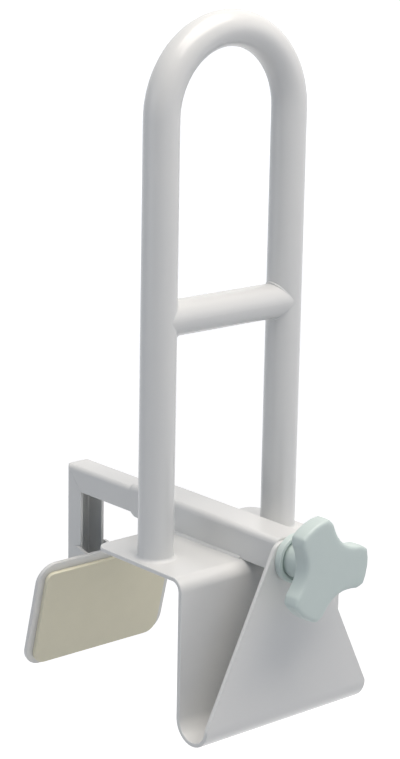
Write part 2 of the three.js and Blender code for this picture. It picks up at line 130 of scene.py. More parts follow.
class Slot(Enum):
    """The record's material slots."""

    PAINT = "painted_steel"
    WELD = "painted_weld"
    KNOB = "knob_plastic"
    RUBBER = "pad_rubber"
    ZINC = "zinc_steel"
    BLACK = "black_steel"


class Spot(NamedTuple):
    """Where a face, edge or vertex is, in millimetres, and which way it faces or runs."""

    at: Vector
    way: Vector

    def along(self, axis: str) -> bool:
        """Whether it faces or runs along an axis, either way."""
        return abs(getattr(self.way, axis)) > ALONG


# Bench: modelling by operators


class Bench:
    """The modelling tools that every sub-assembly shares."""

    @staticmethod
    def clear() -> None:
        """Leave edit mode with nothing selected."""
        if bpy.context.mode != "OBJECT":
            bpy.ops.object.mode_set(mode="OBJECT")
        bpy.ops.object.select_all(action="DESELECT")

    @staticmethod
    def take(piece: Piece) -> None:
        """Select one piece alone and make it active."""
        Bench.clear()
        piece.select_set(True)
        bpy.context.view_layer.objects.active = piece

    @staticmethod
    def fix(piece: Piece) -> None:
        """Set a piece's own place, turn and scale into its mesh."""
        Bench.take(piece)
        bpy.ops.object.transform_apply(location=True, rotation=True, scale=True)

    @staticmethod
    def begin(name: str, scale: Sequence[float] = (1.0, 1.0, 1.0)) -> Piece:
        """Name and size the primitive that was just added.

        Args:
            name: the piece's name.
            scale: what its size is multiplied by, axis by axis.

        Returns:
            The primitive as a piece, its place and size set into its mesh.
        """
        piece = bpy.context.object
        piece.name = name
        piece.scale = scale
        Bench.fix(piece)
        return piece

    @staticmethod
    @contextmanager
    def editing(piece: Piece) -> Iterator[None]:
        """Edit one piece.

        Args:
            piece: the object to edit.

        Returns:
            A context that starts in edit mode with everything selected and ends in object mode.
        """
        Bench.take(piece)
        bpy.ops.object.mode_set(mode="EDIT")
        bpy.ops.mesh.select_mode(type=Part.POINTS.value)
        bpy.ops.mesh.select_all(action="SELECT")
        yield
        bpy.ops.object.mode_set(mode="OBJECT")

    @staticmethod
    def pick(piece: Piece, part: Part, test: Callable[[Spot], bool]) -> None:
        """Select by place or direction, in edit mode.

        Args:
            piece: the object being edited.
            part: whether vertices, edges or faces are looked at.
            test: says whether a spot is wanted.
        """
        bpy.ops.mesh.select_mode(type=part.value)
        bpy.ops.mesh.select_all(action="DESELECT")
        mesh = bmesh.from_edit_mesh(piece.data)
        if part is Part.POINTS:
            spots = [(v, v.co / MM, v.normal) for v in mesh.verts]
        elif part is Part.EDGES:
            spots = [(e, (e.verts[0].co + e.verts[1].co) / 2 / MM,
                      (e.verts[1].co - e.verts[0].co).normalized()) for e in mesh.edges]
        else:
            spots = [(f, f.calc_center_median() / MM, f.normal) for f in mesh.faces]
        for element, at, way in spots:
            if test(Spot(at, way)):
                element.select_set(True)
        mesh.select_flush_mode()
        bmesh.update_edit_mesh(piece.data)

    @staticmethod
    def block(name: str, low: Point, high: Point) -> Piece:
        """Start a piece as a block between two corners."""
        low_at, high_at = Vector(low), Vector(high)
        bpy.ops.mesh.primitive_cube_add(size=1, location=(low_at + high_at) / 2 * MM)
        return Bench.begin(name, (high_at - low_at) * MM)

    @staticmethod
    def rod(name: str, radius: float, start: Point, end: Point, sides: int = 64) -> Piece:
        """Start a piece as a round rod.

        Args:
            name: the piece's name.
            radius: the rod's radius.
            start: the middle of one end.
            end: the middle of the other end.
            sides: how many flats go round it.

        Returns:
            The rod.
        """
        start_at, end_at = Vector(start), Vector(end)
        run = end_at - start_at
        bpy.ops.mesh.primitive_cylinder_add(
            radius=radius * MM, depth=run.length * MM, vertices=sides, location=(start_at + end_at) / 2 * MM,
            rotation=run.to_track_quat("Z", "Y").to_euler())
        return Bench.begin(name)

    @staticmethod
    @contextmanager
    def drawing(name: str, points: Sequence[Point]) -> Iterator[Piece]:
        """Start a piece by drawing a line, vertex by vertex.

        Args:
            name: the piece's name.
            points: the line's points in order.

        Returns:
            A context that holds the piece in edit mode, with its whole line selected.
        """
        bpy.ops.mesh.primitive_plane_add(size=MM)
        piece = Bench.begin(name)
        with Bench.editing(piece):
            bpy.ops.mesh.merge(type="CENTER")
            bpy.ops.transform.translate(value=Vector(points[0]) * MM)
            for before, after in zip(points, points[1:]):
                step = (Vector(after) - Vector(before)) * MM
                bpy.ops.mesh.extrude_vertices_move(TRANSFORM_OT_translate={"value": step})
            bpy.ops.mesh.select_all(action="SELECT")
            yield piece

    @staticmethod
    def outline(name: str, points: Sequence[Point], thickness: Point) -> Piece:
        """Start a piece by filling a drawn outline and drawing it out.

        Args:
            name: the piece's name.
            points: the outline's corners in order, without the first one again.
            thickness: how far and which way the filled outline is drawn out.

        Returns:
            The flat-sided piece.
        """
        with Bench.drawing(name, points) as piece:
            bpy.ops.mesh.edge_face_add()
            Bench.draw_out(thickness)
        return piece

    @staticmethod
    def turned(name: str, section: Sequence[Point], centre: Point, axis: Point, steps: int) -> Piece:
        """Start a piece by turning a closed section once round an axis.

        Args:
            name: the piece's name.
            section: the section's corners in order, without the first one again.
            centre: a point on the axis.
            axis: the way of the axis.
            steps: how many steps make a whole turn.

        Returns:
            The turned piece, its seam merged.
        """
        with Bench.drawing(name, [*section, section[0]]) as piece:
            Bench.merge()
            Bench.spin(360.0, centre, axis, steps)
            Bench.merge()
            bpy.ops.mesh.normals_make_consistent(inside=False)
        return piece

    @staticmethod
    def merge() -> None:
        """Select everything in edit mode and merge its doubles."""
        bpy.ops.mesh.select_all(action="SELECT")
        bpy.ops.mesh.remove_doubles(threshold=MERGE * MM)

    @staticmethod
    def draw_out(by: Point) -> None:
        """Extrude what is selected in edit mode by a step."""
        bpy.ops.mesh.extrude_region_move(TRANSFORM_OT_translate={"value": Vector(by) * MM})

    @staticmethod
    def spin(degrees: float, centre: Point, axis: Point, steps: int) -> None:
        """Spin what is selected in edit mode round an axis, right-handed."""
        bpy.ops.mesh.spin(steps=steps, angle=-math.radians(degrees), center=Vector(centre) * MM, axis=axis)

    @staticmethod
    def bevel(radius: float, steps: int, corners: bool = False) -> None:
        """Round the edges, or the corner vertices, that are selected in edit mode."""
        bpy.ops.mesh.bevel(
            offset=radius * MM, segments=steps, affect="VERTICES" if corners else "EDGES", clamp_overlap=True)

    @staticmethod
    def modify(piece: Piece, kind: str, **settings: Any) -> None:
        """Add a modifier and apply it.

        Args:
            piece: the piece to change.
            kind: the modifier's type name.
            settings: the modifier's own settings.
        """
        Bench.take(piece)
        bpy.ops.object.modifier_add(type=kind)
        modifier = piece.modifiers[-1]
        for setting, value in settings.items():
            setattr(modifier, setting, value)
        bpy.ops.object.modifier_apply(modifier=modifier.name)

    @staticmethod
    def wall(piece: Piece, thickness: float, inward: bool = True) -> None:
        """Give a skin its wall."""
        Bench.modify(piece, "SOLIDIFY", thickness=thickness * MM, offset=-1.0 if inward else 1.0,
                     use_even_offset=True)

    @staticmethod
    def boolean(piece: Piece, tool: Piece, join: Join) -> None:
        """Cut or join a piece with a tool shape, which is used up."""
        Bench.modify(piece, "BOOLEAN", operation=join.value, solver="EXACT", object=tool)
        bpy.data.objects.remove(tool, do_unlink=True)

    @staticmethod
    def bore(piece: Piece, radius: float, start: Point, end: Point, sides: int = 32) -> None:
        """Cut a round hole between two points."""
        Bench.boolean(piece, Bench.rod("drill", radius, start, end, sides), Join.CUT)

    @staticmethod
    def cut(piece: Piece, low: Point, high: Point) -> None:
        """Cut a square way between two corners."""
        Bench.boolean(piece, Bench.block("cutter", low, high), Join.CUT)

    @staticmethod
    def soften(piece: Piece, radius: float, steps: int = 2, limit: float = 50.0) -> None:
        """Round every edge that is sharper than a limit in degrees."""
        Bench.modify(piece, "BEVEL", width=radius * MM, segments=steps, limit_method="ANGLE",
                     angle_limit=math.radians(limit), harden_normals=False, use_clamp_overlap=True)

    @staticmethod
    def sheet(name: str, low: Point, high: Point, corners: tuple[float, float], steps: int,
              edge: float) -> Piece:
        """Start a piece as an upright sheet that faces along Y, with round corners and softened edges.

        Args:
            name: the piece's name.
            low: its lowest corner.
            high: its highest corner.
            corners: the radius of its two upper corners and of its two lower ones.
            steps: the steps in a round corner.
            edge: the radius of its edges.

        Returns:
            The sheet.
        """
        piece = Bench.block(name, low, high)
        middle = (low[2] + high[2]) / 2
        with Bench.editing(piece):
            for upward, corner in zip((1, -1), corners):
                Bench.pick(piece, Part.EDGES, lambda spot: (
                    spot.along("y") and upward * (spot.at.z - middle) > 0))
                Bench.bevel(corner, steps)
        Bench.soften(piece, edge, FINE)
        return piece

    @staticmethod
    def settle(piece: Piece, smooth: float = 40.0) -> Piece:
        """Finish a piece's mesh.

        Args:
            piece: the object, wherever it stands.
            smooth: edges sharper than this, in degrees, stay crisp.

        Returns:
            The same object, unturned at the origin, merged, facing outwards and smooth.
        """
        Bench.fix(piece)
        with Bench.editing(piece):
            Bench.merge()
            bpy.ops.mesh.normals_make_consistent(inside=False)
        bpy.ops.object.shade_smooth_by_angle(angle=math.radians(smooth))
        Bench.modify(piece, "WEIGHTED_NORMAL", mode="FACE_AREA", weight=FACE_WEIGHT, keep_sharp=True)
        return piece


# Finishes


def linear(hex_colour: str) -> tuple[float, float, float, float]:
    """Turn an sRGB hex colour into linear red, green, blue and alpha.

    Args:
        hex_colour: such as "#D9DAD9".

    Returns:
        The linear colour with alpha 1.
    """
    parts = [int(hex_colour[i:i + 2], 16) / 255 for i in (1, 3, 5)]
    red, green, blue = [c / 12.92 if c <= 0.04045 else ((c + 0.055) / 1.055) ** 2.4 for c in parts]
    return red, green, blue, 1.0


def add_node(tree: bpy.types.NodeTree, kind: str, settings: dict[str, Any] | None = None,
             inputs: dict[str | int, Any] | None = None) -> bpy.types.Node:
    """Add a node with its settings, values and links.

    Args:
        tree: the node tree.
        kind: the node's type name.
        settings: properties of the node itself.
        inputs: what goes into each input, a value or an output socket to link.

    Returns:
        The new node.
    """
    node = tree.nodes.new(kind)
    for name, value in (settings or {}).items():
        setattr(node, name, value)
    for name, value in (inputs or {}).items():
        if isinstance(value, bpy.types.NodeSocket):
            tree.links.new(value, node.inputs[name])
        else:
            node.inputs[name].default_value = value
    return node


def empty_tree(owner: bpy.types.Material | bpy.types.World) -> bpy.types.NodeTree:
    """Turn on the nodes of a material or a world and clear them.

    Args:
        owner: the material or the world.

    Returns:
        Its node tree, empty.
    """
    owner.use_nodes = True
    owner.node_tree.nodes.clear()
    return owner.node_tree


@dataclass(frozen=True)
class Finish:
    """One surface finish, as a mottled colour with a fine grain and uneven gloss.

    The colour drifts between two close tones, the gloss drifts with it, and a fine bump stands for the grain.
    """

    name: str
    light: str
    dark: str
    slot: Slot
    roughness: float
    roughness_drift: float
    drift_mm: float
    grain_mm: float
    grain_height_mm: float
    metallic: float = 0.0
    ior: float = 1.5
    coat: float = 0.0
    coat_roughness: float = 0.1
    drift_octaves: float = 3.0
    drift_falloff: float = 0.55
    drift_span: tuple[float, float] = (0.3, 0.7)
    grain_octaves: float = 2.0
    grain_falloff: float = 0.5

    def scale(self, size_mm: float) -> float:
        """Noise scale whose features are about this many millimetres across."""
        return 1.0 / (size_mm * MM)

    def build(self) -> bpy.types.Material:
        """Make the material.

        Returns:
            The new material.
        """
        material = bpy.data.materials.new(self.name)
        tree = empty_tree(material)
        where = add_node(tree, "ShaderNodeTexCoord").outputs["Object"]
        drift = add_node(tree, "ShaderNodeTexNoise", {"noise_dimensions": "3D"}, {
            "Vector": where, "Scale": self.scale(self.drift_mm), "Detail": self.drift_octaves,
            "Roughness": self.drift_falloff})
        colour = add_node(tree, "ShaderNodeMix", {"data_type": "RGBA"}, {
            0: drift.outputs["Fac"], 6: linear(self.dark), 7: linear(self.light)})
        gloss = add_node(tree, "ShaderNodeMapRange", None, {
            "Value": drift.outputs["Fac"], "From Min": self.drift_span[0], "From Max": self.drift_span[1],
            "To Min": self.roughness - self.roughness_drift, "To Max": self.roughness + self.roughness_drift})
        shader = add_node(tree, "ShaderNodeBsdfPrincipled", None, {
            "Base Color": colour.outputs[2], "Roughness": gloss.outputs["Result"], "Metallic": self.metallic,
            "IOR": self.ior, "Coat Weight": self.coat, "Coat Roughness": self.coat_roughness,
            "Normal": self.grain(tree, where)})
        add_node(tree, "ShaderNodeOutputMaterial", None, {"Surface": shader.outputs["BSDF"]})
        return material

    def grain(self, tree: bpy.types.NodeTree, where: bpy.types.NodeSocket) -> bpy.types.NodeSocket:
        """Make the bump of the fine grain.

        Args:
            tree: the material's node tree.
            where: the socket that gives the place on the piece.

        Returns:
            The socket that gives the bumped normal.
        """
        noise = add_node(tree, "ShaderNodeTexNoise", {"noise_dimensions": "3D"}, {
            "Vector": where, "Scale": self.scale(self.grain_mm), "Detail": self.grain_octaves,
            "Roughness": self.grain_falloff})
        bump = add_node(tree, "ShaderNodeBump", None, {
            "Strength": 1.0, "Distance": self.grain_height_mm * MM, "Height": noise.outputs["Fac"]})
        return bump.outputs["Normal"]


# Polyester powder coat, baked on steel: an even satin grey with the faint ripple of its melt
POWDER_COAT = Finish(
    name="powder_coated_steel", light="#E0E0DE", dark="#DADBDA", slot=Slot.PAINT, roughness=0.31,
    roughness_drift=0.02, drift_mm=45.0, grain_mm=3.0, grain_height_mm=0.012, coat=0.4, coat_roughness=0.16)

# The same coat over a weld fillet: its ripples are short, and they catch the light
COATED_WELD = Finish(
    name="powder_coated_weld", light="#E3E3E1", dark="#D7D9D9", slot=Slot.WELD, roughness=0.40,
    roughness_drift=0.05, drift_mm=6.0, grain_mm=2.2, grain_height_mm=0.16)

# Moulded polypropylene: a cool pale green grey, satin, with the fine spark texture of its mould
KNOB_PLASTIC = Finish(
    name="moulded_polypropylene", light="#CFDBD7", dark="#C9D6D3", slot=Slot.KNOB, roughness=0.42,
    roughness_drift=0.04, drift_mm=18.0, grain_mm=1.2, grain_height_mm=0.02)

# Vulcanised rubber sheet: a matt warm beige with a soft pebble
BEIGE_RUBBER = Finish(
    name="rubber_sheet", light="#EAE6D0", dark="#E2DEC8", slot=Slot.RUBBER, roughness=0.72,
    roughness_drift=0.05, drift_mm=22.0, grain_mm=1.6, grain_height_mm=0.05)

# Zinc plate on steel: a cool grey metal with the cloudy spangle of the bath
ZINC_PLATE = Finish(
    name="zinc_plated_steel", light="#BFC2C5", dark="#A6AAAF", slot=Slot.ZINC, roughness=0.32,
    roughness_drift=0.08, drift_mm=3.0, grain_mm=0.8, grain_height_mm=0.01, metallic=1.0)

# Dark steel for the far nut: a metal kept much darker than the zinc of the bolt and washers beside it
DARK_NUT_STEEL = Finish(
    name="dark_nut_steel", light="#4A4C4F", dark="#3A3C3F", slot=Slot.BLACK, roughness=0.38,
    roughness_drift=0.06, drift_mm=3.0, grain_mm=0.8, grain_height_mm=0.01, metallic=1.0)


class Dresser:
    """Gives pieces their finish and body, and hides the CAD node that each stands for."""

    def __init__(self) -> None:
        """Build every finish once."""
        finishes = (POWDER_COAT, COATED_WELD, KNOB_PLASTIC, BEIGE_RUBBER, ZINC_PLATE, DARK_NUT_STEEL)
        self.materials = {finish.name: finish.build() for finish in finishes}

    def dress(self, piece: Piece, finish: Finish) -> None:
        """Put a finish on an object."""
        piece.data.materials.clear()
        piece.data.materials.append(self.materials[finish.name])

    def place(self, piece: Piece, node: str, body: Body, finish: Finish) -> None:
        """Let a finished piece stand for its CAD node.

        Args:
            piece: the settled piece.
            node: the CAD node that it replaces.
            body: the body that it rides on.
            finish: its finish.
        """
        self.dress(piece, finish)
        low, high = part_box(node)
        ends = ((piece.bound_box[0], low), (piece.bound_box[6], high))
        off = max(abs(own - cad) for corner, cad_corner in ends for own, cad in zip(corner, cad_corner)) / MM
        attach(piece, body.value)
        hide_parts(node)
        faces = len(piece.data.polygons)
        log.info("%s stands for %s: %d faces, box within %.2f mm", piece.name, node, faces, off)

    def keep(self, node: str, finish: Finish) -> None:
        """Keep a CAD node's own shape and give it a finish."""
        self.dress(frame["nodes"][node], finish)
        log.info("%s keeps its own shape", node)


# Sub-assemblies


def box_mm(node: str) -> tuple[Vector, Vector]:
    """A CAD node's lowest and highest corners, in millimetres."""
    low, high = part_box(node)
    return low / MM, high / MM


@dataclass(frozen=True)
class Shared:
    """Sizes and places that more than one sub-assembly uses."""

    saddle_half: float
    plate_end: float
    leaf_outer_y: float
    axis_z: float
    pivot_y: float
    pivot_z: float
    arm_half: float
    arm_low: float
    arm_high: float
    arm_tail: float
    post_front: float
    post_back: float
    post_foot: float
    ear_inner: float
    sheet: float = 3.2
    bar_radius: float = 12.7
    leg_x: float = 58.1
    screw_radius: float = 5.0
    bolt_radius: float = 3.2
    gap: float = 0.3

    @classmethod
    def measured(cls) -> "Shared":
        """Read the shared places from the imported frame.

        Returns:
            The sizes, with the saddle's, the screw's, the arm's and the pivot's places as the frame has them.
        """
        saddle_low, saddle_high = box_mm("saddle_bracket")
        arm_low, arm_high = box_mm("arm_channel")
        post_low, post_high = box_mm("post_channel")
        screw_low, screw_high = box_mm("clamp_screw")
        pivot = next(joint["pos_m"] for joint in frame["joints"] if joint["name"] == "jaw_tilt")
        return cls(saddle_half=saddle_high.x, plate_end=saddle_high.y, leaf_outer_y=saddle_low.y,
                   axis_z=(screw_low.z + screw_high.z) / 2, pivot_y=pivot[1] / MM, pivot_z=pivot[2] / MM,
                   arm_half=arm_high.x, arm_low=arm_low.z, arm_high=arm_high.z, arm_tail=arm_low.y,
                   post_front=post_low.y, post_back=post_high.y, post_foot=post_low.z,
                   ear_inner=-box_mm("jaw_ear_near")[1].x)

    @property
    def leaf_inner_y(self) -> float:
        """The side of the leaf that faces the tub."""
        return self.leaf_outer_y + self.sheet

    @property
    def screw_hole(self) -> float:
        """The radius of a hole for the clamp screw."""
        return self.screw_radius + self.gap

    @property
    def bolt_hole(self) -> float:
        """The radius of a hole for the pivot bolt."""
        return self.bolt_radius + self.gap


@dataclass
class GrabRail:
    """The bent grab bar, the crossbar and their welds."""

    shared: Shared
    wall: float = 1.6
    bend_height: float = 310.4
    crossbar_z: float = 173.2
    sides: int = 64
    bend_steps: int = 48
    weld_steps: int = 96
    foot_weld_width: float = 2.7
    foot_weld_height: float = 2.4
    foot_weld_curve: int = 8
    crossbar_weld: float = 1.1
    crossbar_weld_sides: int = 16
    crossbar_weld_sink: float = 1.1

    def grab_bar(self) -> Piece:
        """One tube from the plate up a leg, round half a circle and down the other leg.

        Returns:
            The settled bar.
        """
        shared = self.shared
        rise = self.bend_height - shared.sheet
        bpy.ops.mesh.primitive_circle_add(
            vertices=self.sides, radius=shared.bar_radius * MM,
            location=Vector((-shared.leg_x, 0, shared.sheet)) * MM)
        piece = Bench.begin("bent_grab_bar")
        with Bench.editing(piece):
            Bench.draw_out((0, 0, rise))
            Bench.spin(180.0, (0, 0, self.bend_height), (0, 1, 0), self.bend_steps)
            Bench.draw_out((0, 0, -rise))
            bpy.ops.mesh.select_all(action="SELECT")
            bpy.ops.mesh.normals_make_consistent(inside=False)
        Bench.wall(piece, self.wall)
        return Bench.settle(piece)

    def crossbar(self) -> Piece:
        """The straight tube between the legs, its ends coped to them.

        Returns:
            The settled crossbar.
        """
        shared = self.shared
        leg_x, middle, reach = shared.leg_x, self.crossbar_z, 3 * shared.bar_radius
        piece = Bench.rod("coped_crossbar", shared.bar_radius, (-leg_x, 0, middle), (leg_x, 0, middle),
                          self.sides)
        with Bench.editing(piece):
            Bench.pick(piece, Part.FACES, lambda spot: spot.along("x"))
            bpy.ops.mesh.delete(type="FACE")
        Bench.wall(piece, self.wall)
        for x in (-leg_x, leg_x):
            Bench.bore(piece, shared.bar_radius + NEAR, (x, 0, middle - reach), (x, 0, middle + reach),
                       self.sides)
        return Bench.settle(piece)

    def half_seam(self, side: Side, upward: int) -> Piece:
        """One half of the fillet where the crossbar meets a leg: half an ellipse in a plane at 45 degrees.

        The half ring is stretched along its own middle and stood up, then leant towards the other leg. Its
        sides are drawn in, so that the fillet runs out into the tubes where they lie flush.

        Args:
            side: the leg's side.
            upward: 1 for the upper half and -1 for the lower.

        Returns:
            The half ring.
        """
        shared = self.shared
        bpy.ops.mesh.primitive_torus_add(
            major_radius=shared.bar_radius * MM, minor_radius=self.crossbar_weld * MM,
            major_segments=self.weld_steps, minor_segments=self.crossbar_weld_sides)
        piece = Bench.begin("crossbar_seam")
        with Bench.editing(piece):
            bpy.ops.mesh.bisect(plane_co=(0, 0, 0), plane_no=(-1, 0, 0), clear_outer=True, use_fill=True)
        piece.scale = (math.sqrt(2), 1 - self.crossbar_weld_sink / shared.bar_radius, 1)
        lean = math.radians(-45.0 if side is Side.NEAR else -135.0)
        piece.rotation_euler = (0, upward * lean, 0)
        piece.location = Vector((side * shared.leg_x, 0, self.crossbar_z)) * MM
        Bench.fix(piece)
        return piece

    def crossbar_seam(self, side: Side) -> Piece:
        """The whole fillet round one end of the crossbar.

        Args:
            side: the leg's side.

        Returns:
            The settled fillet.
        """
        upper = self.half_seam(side, 1)
        Bench.boolean(upper, self.half_seam(side, -1), Join.ADD)
        upper.name = f"crossbar_fillet_{side.word}"
        return Bench.settle(upper, CRISP)

    def foot_seam(self, side: Side) -> Piece:
        """The fillet round a leg's foot: a hollow curve that runs out into the tube and the plate.

        Args:
            side: the leg's side.

        Returns:
            The settled fillet.
        """
        x, low = side * self.shared.leg_x, self.shared.sheet
        tube = x + self.shared.bar_radius
        wide, high = self.foot_weld_width, self.foot_weld_height
        section = [(tube - NEAR, 0.0, low)]
        for step in range(self.foot_weld_curve + 1):
            turn = math.radians(90.0 * step / self.foot_weld_curve)
            section.append((tube + wide * (1 - math.sin(turn)), 0.0, low + high * (1 - math.cos(turn))))
        section.append((tube - NEAR, 0.0, low + high))
        piece = Bench.turned(f"foot_fillet_{side.word}", section, (x, 0.0, low), (0, 0, 1), self.weld_steps)
        return Bench.settle(piece, CRISP)

    def build(self, dresser: Dresser) -> None:
        """Make and dress every piece of the rail.

        Args:
            dresser: gives each piece its finish, body and node.
        """
        dresser.place(self.grab_bar(), "grab_bar", Body.RAIL, POWDER_COAT)
        dresser.place(self.crossbar(), "crossbar", Body.RAIL, POWDER_COAT)
        for side in Side:
            dresser.place(self.crossbar_seam(side), f"crossbar_weld_{side.word}", Body.RAIL, COATED_WELD)
            dresser.place(self.foot_seam(side), f"leg_weld_{side.word}", Body.RAIL, COATED_WELD)


@dataclass
class Saddle:
    """The folded saddle, the sleeve welded along it, its beads and the fixed pad."""

    shared: Shared
    bend_radius: float = 6.3
    bend_steps: int = 12
    hook_radius: float = 16.45
    hook_steps: int = 24
    hook_z: float = -97.5
    leaf_top: float = 25.5
    leaf_taper_x: float = 17.9
    leaf_taper_z: float = 21.2
    leaf_corner: float = 5.5
    leaf_corner_steps: int = 5
    plate_corner: float = 11.0
    plate_corner_steps: int = 8
    edge: float = 0.8
    sleeve_half: float = 13.25
    sleeve_wall: float = 1.6
    sleeve_top: float = 26.7
    sleeve_end: float = 84.5
    sleeve_lip: float = 8.0
    sleeve_lip_steps: int = 10
    sleeve_corner: float = 4.4
    sleeve_far_corner: float = 0.8
    sleeve_corner_steps: int = 7
    sleeve_bore_steps: int = 4
    sleeve_mouth_drop: float = 2.2
    sleeve_mouth_depth: float = 1.2
    sleeve_edge: float = 0.5
    bead: float = 1.7
    bead_fullness: float = 0.72
    bead_smooth: float = 50.0
    pad_half: float = 69.0
    pad_low: float = -94.0
    pad_high: float = -10.3
    pad_corner: float = 6.0
    pad_corner_steps: int = 10
    pad_thickness: float = 3.0
    pad_edge: float = 0.5

    @property
    def hook_y(self) -> float:
        """Centre of the hook bend."""
        return self.shared.leaf_outer_y + self.hook_radius

    @property
    def wall_y(self) -> float:
        """The leg's face towards the tub wall."""
        return self.hook_y + self.hook_radius

    @property
    def bend_y(self) -> float:
        """Where the plate starts to bend down into the leg."""
        return self.wall_y + self.bend_radius

    def folded_sheet(self) -> Piece:
        """One sheet: the plate, the rim bend, the leg, the hook and the tapered leaf.

        Returns:
            The settled saddle.
        """
        shared = self.shared
        depth = shared.plate_end - self.bend_y
        bpy.ops.mesh.primitive_plane_add(size=1, location=(0, (shared.plate_end + self.bend_y) / 2 * MM, 0))
        piece = Bench.begin("folded_saddle", (2 * shared.saddle_half * MM, depth * MM, 1))
        with Bench.editing(piece):
            Bench.pick(piece, Part.EDGES, lambda spot: spot.at.y < self.bend_y + NEAR)
            Bench.spin(90.0, (0, self.bend_y, -self.bend_radius), (1, 0, 0), self.bend_steps)
            Bench.draw_out((0, 0, self.hook_z + self.bend_radius))
            Bench.spin(-180.0, (0, self.hook_y, self.hook_z), (1, 0, 0), self.hook_steps)
            Bench.draw_out((0, 0, self.leaf_top - self.hook_z))
            self.taper_leaf(piece)
            self.round_corners(piece)
            Bench.merge()
        Bench.wall(piece, shared.sheet, inward=False)
        Bench.bore(piece, shared.screw_hole, (0, shared.leaf_outer_y - PAST, shared.axis_z),
                   (0, shared.leaf_inner_y + PAST, shared.axis_z))
        Bench.soften(piece, self.edge, FINE)
        return Bench.settle(piece)

    def taper_leaf(self, piece: Piece) -> None:
        """Cut the leaf's two slanting sides.

        Args:
            piece: the folded skin, in edit mode.
        """
        shared = self.shared
        rise = self.leaf_taper_z - self.hook_z
        inset = shared.saddle_half - self.leaf_taper_x
        for side in Side:
            Bench.pick(piece, Part.FACES, lambda spot: (
                spot.at.y < shared.leaf_outer_y + NEAR and spot.at.z > self.hook_z + NEAR))
            bpy.ops.mesh.bisect(
                plane_co=Vector((side * shared.saddle_half, 0, self.hook_z)) * MM,
                plane_no=Vector((side * rise, 0, inset)).normalized(), clear_outer=True)

    def round_corners(self, piece: Piece) -> None:
        """Round the plate's two free corners and the leaf's two top corners.

        Args:
            piece: the folded skin, in edit mode.
        """
        shared = self.shared
        Bench.pick(piece, Part.POINTS, lambda spot: (
            abs(spot.at.x) > shared.saddle_half - NEAR and spot.at.y > shared.plate_end - NEAR))
        Bench.bevel(self.plate_corner, self.plate_corner_steps, corners=True)
        Bench.pick(piece, Part.POINTS, lambda spot: spot.at.z > self.leaf_top - NEAR)
        Bench.bevel(self.leaf_corner, self.leaf_corner_steps, corners=True)

    def sleeve(self) -> Piece:
        """The rectangular tube that guides the arm.

        Its free lower corner is rounded, its floor is cut back, and its mouth is closed where the leaf ends.

        Returns:
            The settled sleeve.
        """
        shared = self.shared
        half, wall = self.sleeve_half, self.sleeve_wall
        low, high, start, end = shared.sheet, self.sleeve_top, shared.leaf_inner_y, self.sleeve_end
        piece = Bench.block("arm_sleeve", (-half, start, low), (half, end, high))
        with Bench.editing(piece):
            Bench.pick(piece, Part.EDGES, lambda spot: spot.at.z < low + NEAR and spot.at.y > end - NEAR)
            Bench.bevel(self.sleeve_lip, self.sleeve_lip_steps)
            for side, corner in zip(Side, (self.sleeve_corner, self.sleeve_far_corner)):
                Bench.pick(piece, Part.EDGES, lambda spot: (
                    side * spot.at.x > 0 and spot.at.z > high - NEAR and spot.along("y")))
                Bench.bevel(corner, self.sleeve_corner_steps)
        hollow = Bench.block("hollow", (wall - half, start + self.sleeve_mouth_depth, low + wall),
                             (half - wall, end + PAST, high - wall))
        with Bench.editing(hollow):
            Bench.pick(hollow, Part.EDGES, lambda spot: (
                spot.at.x < 0 and spot.at.z > high - wall - NEAR and spot.along("y")))
            Bench.bevel(self.sleeve_corner - wall, self.sleeve_bore_steps)
        Bench.boolean(piece, hollow, Join.CUT)
        # The mouth in the leaf's plane, and the way for the post under the sleeve's end
        Bench.cut(piece, (wall - half, start - PAST, low + wall),
                  (half - wall, start + PAST, self.leaf_top - self.sleeve_mouth_drop))
        Bench.cut(piece, (wall - half, shared.plate_end, low - PAST),
                  (half - wall, end + PAST, low + 2 * wall))
        Bench.soften(piece, self.sleeve_edge, limit=CRISP)
        return Bench.settle(piece)

    def sleeve_bead(self, side: Side) -> Piece:
        """The weld bead along one foot of the sleeve.

        Args:
            side: the bead's side.

        Returns:
            The settled bead.
        """
        low, start = self.shared.sheet, self.bend_y
        middle = self.bead * self.bead_fullness
        section = ((0, 0), (self.bead, 0), (middle, middle), (0, self.bead))
        points = [(side * (self.sleeve_half + out), start, low + up) for out, up in section]
        piece = Bench.outline(f"sleeve_bead_{side.word}", points, (0, self.shared.plate_end - start, 0))
        return Bench.settle(piece, self.bead_smooth)

    def fixed_pad(self) -> Piece:
        """The rubber sheet on the leg's face towards the tub wall.

        Returns:
            The settled pad.
        """
        front = self.wall_y + self.shared.gap + self.pad_thickness
        return Bench.settle(Bench.sheet(
            "fixed_pad", (-self.pad_half, self.wall_y, self.pad_low), (self.pad_half, front, self.pad_high),
            (self.pad_corner, self.pad_corner), self.pad_corner_steps, self.pad_edge))

    def build(self, dresser: Dresser) -> None:
        """Make and dress every piece of the saddle.

        Args:
            dresser: gives each piece its finish, body and node.
        """
        dresser.place(self.folded_sheet(), "saddle_bracket", Body.RAIL, POWDER_COAT)
        dresser.place(self.sleeve(), "clamp_sleeve", Body.RAIL, POWDER_COAT)
        for side in Side:
            dresser.place(self.sleeve_bead(side), f"sleeve_weld_{side.word}", Body.RAIL, COATED_WELD)
        dresser.place(self.fixed_pad(), "wall_pad", Body.RAIL, BEIGE_RUBBER)


